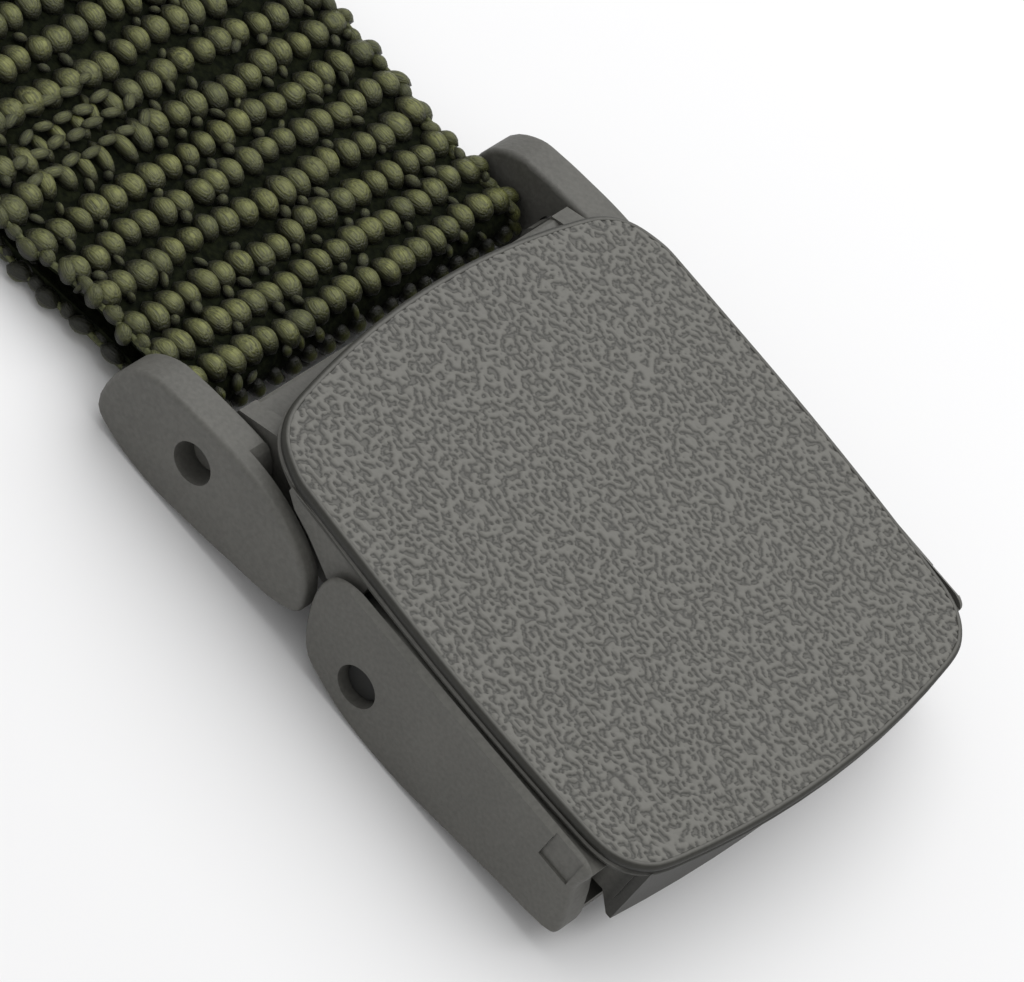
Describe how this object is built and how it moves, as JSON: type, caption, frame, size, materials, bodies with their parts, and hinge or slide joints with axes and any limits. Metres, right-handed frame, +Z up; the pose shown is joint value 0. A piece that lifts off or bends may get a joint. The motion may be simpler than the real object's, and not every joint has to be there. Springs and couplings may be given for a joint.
{
  "type": "canvas web belt, buckle end",
  "caption": "Web belt's buckle end: ribbed strap looped round a bar, hinged grained cover and a locking lever underneath.",
  "frame": {"origin": "middle of the footprint, on the surface that the belt lies on", "axes": "+X along the strap towards the buckle's tail, +Y across it, +Z up out of the cover"},
  "size_m": [0.0964, 0.0462, 0.0136],
  "materials": {
    "webbing": "coarse ribbed olive webbing",
    "buckle": "matt dark grey, cover grained",
    "steel": "dull"
  },
  "bodies": {
    "strap_side": {"webbing": "webbing", "strap_bar": "steel", "ear_near": "buckle", "ear_far": "buckle"},
    "cover": {"cover": "buckle", "lever_pin_near": "steel", "lever_pin_far": "steel"},
    "lever": {"locking_lever": "buckle"}
  },
  "joints": [
    {"name": "cover_hinge", "type": "hinge", "parent": "strap_side", "child": "cover", "pos_m": [0.00035, 0, 0.00591], "axis": [0, -1, 0], "range_deg": [0, 60]},
    {"name": "lever_hinge", "type": "hinge", "parent": "cover", "child": "lever", "pos_m": [0.02095, 0, 0.00396], "axis": [0, 1, 0], "range_deg": [0, 45]}
  ]
}
